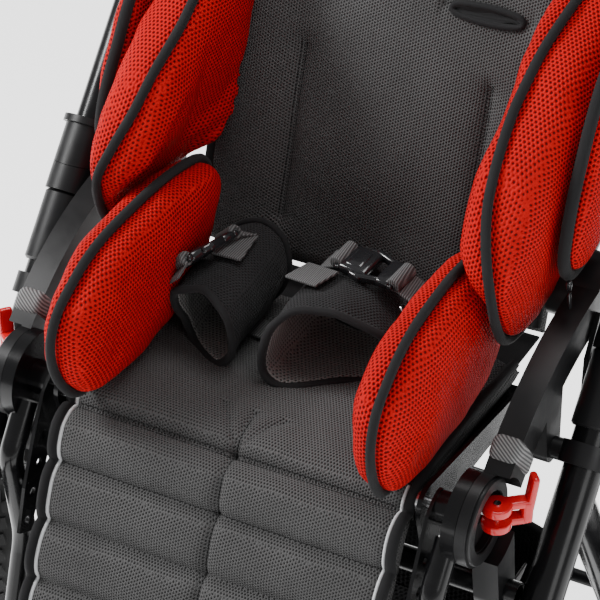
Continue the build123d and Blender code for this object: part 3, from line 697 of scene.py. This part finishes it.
# A thin black cloth sheet over the seat's rear edge, where the back cushion's foot meets it: painted shade of that
# join.
bm = bmesh.new()
add_box(bm, (seat_half * 2 - 6, 50, 2.4), shift(0, 211, 4), 1.0)
piece("seat_rear_shade_sheet", bm, BLACK_CLOTH, "frame", "black_mesh")

back_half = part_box("back_pad")[1].x / MM
back_lean = math.radians(17)
back_length = 560.0
back_foot_y, back_foot_z = 204, 24


def back_place(up, ahead):
    """(y, z) up the backrest from its foot and ahead of its front face."""
    return (back_foot_y + up * math.sin(back_lean) - ahead * math.cos(back_lean),
            back_foot_z + up * math.cos(back_lean) + ahead * math.sin(back_lean))


back_profile = Profile([back_place(up, -4) for up in (2, 90, 180, 280, 380, 470, back_length - 2)],
                       outward=1)
seam_x, seam_low, seam_high, seam_fade = 84.0, 40.0, 196.0, 14.0
slit_heights, slit_in, slit_out = (250.0, 400.0), 42.0, 104.0


def back_puff(x, distance):
    starts = min(1.0, max(0.0, (distance - seam_low + seam_fade) / seam_fade))
    ends = min(1.0, max(0.0, (seam_high + 6 - distance) / seam_fade))
    sink = groove(abs(x) - seam_x, 7.5, 9.0) * starts * ends
    for up in slit_heights:
        if slit_in - 12 < abs(x) < slit_out + 12:
            sink += groove(distance - up, 4.0, 7.0)
    sides = 4.0 * math.exp(-((abs(x) - 124) / 26) ** 2) * (1 if distance < 300 else 0.6)
    crown = 3.0 * math.cos(x / back_half * 1.3) * math.sin(math.pi * min(1, distance / back_length))
    ripple = noise.noise(Vector((x * 0.022, distance * 0.016, 2.0))) * 2.2
    return 2.0 + crown + sides - sink + ripple


back_cover = quilted("back_cushion", back_profile, back_half, 30.0, back_puff, GREY_NET, 110, 180,
                     "backrest")
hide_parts("back_pad")
back_rows = []
for _, side in SIDES:
    for offset in (-2.4, 2.4):
        back_rows.append(line_on(back_profile, side * seam_x + offset, seam_low, side * seam_x + offset,
                                 seam_high, back_puff, 0.4, 60))
stitches("back_stitches", back_rows, 0.0036, "backrest", BINDING)
slit_rims = []
for _, side in SIDES:
    for up in slit_heights:
        loop = [(slit_in, -2), (slit_in + 6, 3), ((slit_in + slit_out) / 2, 5), (slit_out - 6, 3),
                (slit_out, -2), (slit_out - 6, -6), ((slit_in + slit_out) / 2, -8), (slit_in + 6, -6)]
        rim = []
        for x, rise in loop:
            place, normal = back_profile.walk(up + rise)
            rim.append(at(side * x, *(place + normal * (back_puff(x, up + rise) + 1.2)).yz))
        slit_rims.append(smooth_line(rim, 4, closed=True))
rope("harness_slot_rims", slit_rims, 0.0028, BINDING, "backrest", "webbing", closed=True)
bm = bmesh.new()
for rim in slit_rims:
    bm.faces.new([bm.verts.new(point) for point in rim])
bmesh.ops.solidify(bm, geom=bm.faces[:], thickness=0.003)
bmesh.ops.recalc_face_normals(bm, faces=bm.faces[:])
piece("harness_slots", bm, BLACK_CLOTH, "backrest", "webbing")
back_edge = []
for _, side in SIDES:
    back_edge.append(line_on(back_profile, side * (back_half - 3), 8, side * (back_half - 3),
                             back_length - 10, back_puff, -3.0, 60))
back_edge.append(line_on(back_profile, -back_half + 4, back_length - 6, back_half - 4, back_length - 6,
                         back_puff, -3.0, 40))
rope("back_binding", back_edge, 0.0042, BINDING, "backrest", "webbing")

# ---- thigh cuffs and their buckles -------------------------------------------------------


def cuff(name, node, mouth, rear_x, rear_half, fold):
    """A padded wrap: an open sleeve from its slanted mouth to its rear edge under the back."""
    front = smooth_line(mouth, 4, closed=True)
    low = Vector([min(point[axis] for point in mouth) for axis in range(3)])
    high = Vector([max(point[axis] for point in mouth) for axis in range(3)])
    middle, half = (low + high) / 2, (high - low) / 2
    loops = []
    for step in range(15):
        share = step / 14
        loop = []
        for point in front:
            angle = math.atan2((point.z - middle.z) / half.z, (point.x - middle.x) / half.x)
            rear_z = 47 + 33 * math.sin(angle)
            rear = Vector((rear_x + rear_half * math.cos(angle), 156 + (rear_z - 14) * 0.4, rear_z))
            spot = point.lerp(rear, share)
            swell = 3.0 * math.sin(math.pi * share) - 1.5
            wrinkle = 2.2 * noise.noise(Vector((spot.x * 0.05, spot.y * 0.045, spot.z * 0.05 + fold)))
            spot += Vector((math.cos(angle), 0, math.sin(angle))) * (swell + wrinkle)
            spot.z = max(spot.z, 14.0)
            loop.append(at(*spot))
        loops.append(loop)
    bm = bmesh.new()
    skin(bm, loops)
    bmesh.ops.recalc_face_normals(bm, faces=bm.faces[:])
    core = at(middle.x, middle.y + 40, middle.z)
    if sum(face.normal.dot(face.calc_center_median() - core) for face in bm.faces) < 0:
        bmesh.ops.reverse_faces(bm, faces=bm.faces[:])
    result = bmesh.ops.solidify(bm, geom=bm.faces[:], thickness=0.0045)
    for face in result["geom"]:
        if isinstance(face, bmesh.types.BMFace):
            face.material_index = 1
    wrap = piece(name, bm, [BLACK_NET, LINING_NET], "frame", "black_mesh")
    fine(wrap)
    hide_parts(node)
    rope(name + "_binding", [loops[0], loops[-1]], 0.0034, BINDING, "frame", "webbing",
         closed=True)


def buckle(name, x, y, z, heading, tilt):
    """A side-release buckle with its webbing rolls."""
    place = shift(x, y, z) @ turn("Z", heading) @ turn("X", tilt)
    bm = bmesh.new()
    add_box(bm, (27, 30, 9), place @ nudge(-10, 0, 0), 3.2)
    add_box(bm, (17, 22, 10.5), place @ nudge(-11, 0, 0), 3.0)
    add_box(bm, (14, 30, 8), place @ nudge(19, 0, 0), 3.0)
    for side in (-1, 1):
        prong = place @ nudge(6, side * 14.0, 0) @ turn("Z", -side * 14)
        add_box(bm, (24, 5, 8), prong, 2.2)
        knob = place @ nudge(-5, side * 16.0, 0)
        add_box(bm, (13, 5, 7), knob @ turn("Z", side * 10), 2.2)
    for end in (-24, 27):
        bar = place @ nudge(end, 0, 0) @ turn("X", 90)
        add_bar(bm, 2.6, 31, bar, 1.0, 16)
    body = piece(name, bm, GLOSS, "frame", "gloss_black")
    bm = bmesh.new()
    for end in (-26, 29):
        for number, (radius, off) in enumerate(((6.2, 0.0), (4.8, 1.4))):
            roll = place @ nudge(end + off, 0, 1.5 - number) @ turn("X", 90)
            add_bar(bm, radius, 25, roll, 1.2, 28)
        tail = place @ nudge(end * 1.26, 0, -5) @ turn("Y", math.copysign(24, end))
        add_box(bm, (22, 25, 2.0), tail, 0.8)
    straps = piece(name + "_webbing", bm, WEBBING, "frame", "webbing")
    return body, straps


cuff("thigh_wrap_left", "thigh_cuff_left",
     [(-15, 60, 35), (-14, 60, 54), (-9, 67, 70), (4, 75, 80), (23, 82, 84), (43, 87, 82), (62, 91, 75),
      (79, 97, 64), (85, 109, 46), (80, 110, 27), (60, 101, 16), (39, 86, 14), (16, 68, 14),
      (0, 60, 15), (-11, 59, 22)], 20, 41, 5.0)
cuff("thigh_wrap_right", "thigh_cuff_right",
     [(-102, 72, 64), (-97, 71, 72), (-83, 73, 77), (-68, 71, 78), (-52, 64, 72), (-43, 61, 60),
      (-42, 65, 42), (-46, 66, 25), (-55, 64, 15), (-66, 67, 14), (-86, 80, 15), (-97, 86, 23),
      (-100, 82, 37), (-102, 75, 50)], -80, 33, 11.0)
left_buckle, _ = buckle("cuff_buckle_left", 39, 146, 91, -8, 8)
buckle("cuff_buckle_right", -96, 112, 84, 74, -44)
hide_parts("cuff_buckles")
bm = bmesh.new()
add_box(bm, (34, 28, 2.4), shift(-2, 122, 85) @ turn("Z", -16) @ turn("Y", -10), 0.9)
add_box(bm, (26, 40, 2.4), shift(-78, 132, 85) @ turn("Z", 8) @ turn("Y", 4), 0.9)
add_box(bm, (60, 24, 2.4), shift(-32, 118, 19) @ turn("Z", -6), 0.9)
piece("cuff_straps", bm, WEBBING, "frame", "webbing")
bm = bmesh.new()
add_bar(bm, 4.2, 3.0, shift(76, 130, 72) @ turn("Y", 40), 1.0, 24)
piece("cuff_snap", bm, CHROME, "frame", "steel")

# ---- basket ------------------------------------------------------------------------------
basket_low, basket_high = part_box("basket")
bm = bmesh.new()
bmesh.ops.create_grid(bm, x_segments=64, y_segments=24, size=1.0)
params = {vert: (vert.co.x, vert.co.y) for vert in bm.verts}
centre = (basket_low + basket_high) / 2
half = (basket_high - basket_low) / 2


def basket_place(u, v):
    """A rounded sack: round the rim by u, from the rim down to the floor's middle by v."""
    angle = u * math.pi
    down = (v + 1) / 2
    power = 0.32
    c, s = math.cos(angle), math.sin(angle)
    x = math.copysign(abs(c) ** power, c)
    y = math.copysign(abs(s) ** power, s)
    wall = min(1.0, down / 0.55)
    floor_share = max(0.0, (down - 0.55) / 0.45)
    size = (1 - 0.06 * math.sin(wall * math.pi / 2)) * (1 - floor_share)
    dip = 4 * MM * noise.noise(Vector((x * 2, y * 2, down * 3)))
    drop = half.z * 2 * math.sin(wall * math.pi / 2) ** 1.2
    sag = -3 * MM * math.sin(floor_share * math.pi / 2)
    return Vector((centre.x + (half.x - 2 * MM) * x * size, centre.y + (half.y - 2 * MM) * y * size,
                   basket_high.z - 2 * MM - drop * 0.94 + sag + dip * (1 - floor_share) * wall))


for vert, (u, v) in params.items():
    vert.co = basket_place(u, v)
bmesh.ops.remove_doubles(bm, verts=bm.verts[:], dist=0.0002)
bmesh.ops.recalc_face_normals(bm, faces=bm.faces[:])
bmesh.ops.solidify(bm, geom=bm.faces[:], thickness=0.0024)
sack = piece("basket_net_bag", bm, BASKET_NET, "frame", "black_mesh")
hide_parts("basket")
rim = [basket_place(-1 + 2 * number / 96, -1) for number in range(96)]
rope("basket_rim", [rim], 0.0042, BINDING, "frame", "webbing", closed=True)
bm = bmesh.new()
for _, side in SIDES:
    for y in (60, 196):
        low = at(side * 192, y, -180)
        add_box(bm, (2.2, 22, 96), Matrix.Translation(low + Vector((side * 12 * MM, 0, 44 * MM)))
                @ turn("Y", side * 15), 0.8)
piece("basket_straps", bm, WEBBING, "frame", "webbing")

# ---- tyres with tread --------------------------------------------------------------------


def tyre(name, node, body, tread_rows, blocks):
    """A tyre: a spun round section with raised tread blocks."""
    low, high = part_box(node)
    middle = (low + high) / 2
    outer = (high.z - low.z) / 2
    width = high.x - low.x
    section = []
    inner = outer - 24 * MM
    for number in range(25):
        angle = math.pi * (number / 24) - math.pi / 2
        x = width / 2 * math.sin(angle)
        rise = (outer - 2.2 * MM - inner) * (math.cos(angle) ** 0.62 if abs(angle) < 1.5 else 0)
        section.append(Vector((x * 0.98, 0, inner + rise)))
    bm = bmesh.new()
    verts = [bm.verts.new(point) for point in section]
    edges = [bm.edges.new(two) for two in zip(verts, verts[1:] + verts[:1])]
    bmesh.ops.spin(bm, geom=verts + edges, cent=(0, 0, 0), axis=(1, 0, 0), angle=2 * math.pi,
                   steps=120, use_merge=True)
    bmesh.ops.remove_doubles(bm, verts=bm.verts[:], dist=1e-5)
    bmesh.ops.recalc_face_normals(bm, faces=bm.faces[:])
    block = (width / MM / tread_rows * 0.74, outer * 2 * math.pi / blocks / MM * 0.62, 3.2)
    for row in range(tread_rows):
        share = (row / (tread_rows - 1) - 0.5) * 2
        x = share * width * 0.36
        radius = outer - 1.9 * MM - (outer - inner) * 0.16 * share ** 2
        for number in range(blocks):
            angle = 360 / blocks * (number + 0.5 * (row % 2))
            spot = turn("X", angle) @ Matrix.Translation((x, 0, radius)) @ turn("Z", 22 * share) \
                @ turn("Y", 20 * share)
            add_box(bm, block, spot)
    bmesh.ops.translate(bm, vec=middle, verts=bm.verts[:])
    made = piece(name, bm, RUBBER, body, "tyre")
    made.modifiers.new("Crisp", "EDGE_SPLIT").split_angle = math.radians(40)
    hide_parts(node)
    return made


for side_name, _ in SIDES:
    tyre(f"tread_{side_name}", f"rear_tyre_{side_name}", f"wheel_{side_name}", 5, 76)
tyre("tread_front", "front_tyre", "wheel_front", 5, 60)

# ---- red cam levers and the webbing round the arms ---------------------------------------
LEVER_TURN = 40.0
for side_name, side in SIDES:
    pivot = Vector(joints[f"lever_{side_name}_open"]["pos_m"])
    place = shift(pivot.x / MM, (pivot.y - hub.y) / MM, (pivot.z - hub.z) / MM) \
        @ turn("Z", 90 + side * (LEVER_TURN - 90))

    def local(x, y, z):
        return place @ nudge(x, side * y, z)

    bm = bmesh.new()
    for height in (-7.3, 7.3):
        add_bar(bm, 11.8, 7.4, local(0, 0, height), 1.6, 44)
        add_box(bm, (26, 12, 7.2), local(13, 3, height), 2.4)
    add_box(bm, (9, 13, 21), local(24, 3, 0), 3.0)
    add_box(bm, (6.5, 13, 38), local(27, 3.5, 12) @ turn("Y", 8), 2.6)
    lever = piece(f"red_lever_{side_name}", bm, RED_PLASTIC, f"lever_{side_name}", "red_plastic")
    fine(lever)
    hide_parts(f"cam_lever_{side_name}")
    bm = bmesh.new()
    add_box(bm, (25.5, 21, 42), shift(side * 211.25, 39.5, 36.4) @ turn("X", 39), 6.5, 5)
    band = piece(f"arm_band_{side_name}", bm, BAND, "frame", "webbing")
    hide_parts("arm_straps")

# ---- finishes of the CAD nodes -----------------------------------------------------------
SLOT_LOOKS = {"black_frame": PAINT, "black_plastic": PLASTIC, "gloss_black": GLOSS, "steel": STEEL,
              "red_plastic": RED_PLASTIC, "red_mesh": RED_NET, "grey_mesh": GREY_NET,
              "black_mesh": BLACK_NET, "webbing": WEBBING, "tyre": RUBBER, "foam": FOAM,
              "wheel_moulding": WHEEL_PLASTIC}
for subpart in frame["record"]["subparts"]:
    node = frame["nodes"][subpart["node"]]
    node.data.materials.clear()
    node.data.materials.append(SLOT_LOOKS[subpart["material_slot"]])
frame["nodes"]["lever_pins"].data.materials[0] = CHROME

# ---- floor, light and camera -------------------------------------------------------------
bm = bmesh.new()
bmesh.ops.create_grid(bm, x_segments=2, y_segments=2, size=9.0)
floor_mesh = bpy.data.meshes.new("studio_floor")
bm.to_mesh(floor_mesh)
bm.free()
floor = bpy.data.objects.new("studio_floor", floor_mesh)
bpy.context.scene.collection.objects.link(floor)
floor_look, _, _ = material("floor_paint", (0.9, 0.9, 0.9), 0.9, Emission_Strength=1.6)
floor_look.node_tree.nodes["Principled BSDF"].inputs["Emission Color"].default_value = (1, 1, 1, 1)
floor_mesh.materials.append(floor_look)

world = bpy.data.worlds.new("studio")
bpy.context.scene.world = world
world.use_nodes = True
world.node_tree.nodes["Background"].inputs[0].default_value = (1, 1, 1, 1)
world.node_tree.nodes["Background"].inputs[1].default_value = 0.42


def soft_light(name, place, aim, size, power):
    lamp = bpy.data.lights.new(name, "AREA")
    lamp.shape = "RECTANGLE"
    lamp.size, lamp.size_y = size
    lamp.energy = power
    holder = bpy.data.objects.new(name, lamp)
    bpy.context.scene.collection.objects.link(holder)
    holder.location = place
    holder.rotation_euler = (Vector(aim) - Vector(place)).to_track_quat("-Z", "Y").to_euler()


seat_aim = at(0, 60, 40)
soft_light("key", (-1.9, -0.5, 2.1), seat_aim, (0.8, 0.8), 78)
soft_light("fill", (2.2, -1.0, 1.6), seat_aim, (0.9, 1.4), 12)
soft_light("top", (0.2, 0.6, 2.8), seat_aim, (1.3, 0.8), 26)

AZIMUTH, ELEVATION, DISTANCE = math.radians(28), math.radians(34), 2.0
SENSOR, LENS = 36.0, 153.6
ASIDE, BELOW = -0.04609375, -0.1109375     # of the hub from the middle of the view, in metres
look = Vector((-math.sin(AZIMUTH) * math.cos(ELEVATION), math.cos(AZIMUTH) * math.cos(ELEVATION),
               -math.sin(ELEVATION)))
right = look.cross(Vector((0, 0, 1))).normalized()
up = right.cross(look)
lens = bpy.data.cameras.new("camera")
lens.sensor_width = SENSOR
lens.lens = LENS
camera = bpy.data.objects.new("camera", lens)
bpy.context.scene.collection.objects.link(camera)
camera.location = hub - look * DISTANCE - right * ASIDE - up * BELOW
camera.rotation_euler = look.to_track_quat("-Z", "Y").to_euler()
bpy.context.scene.camera = camera
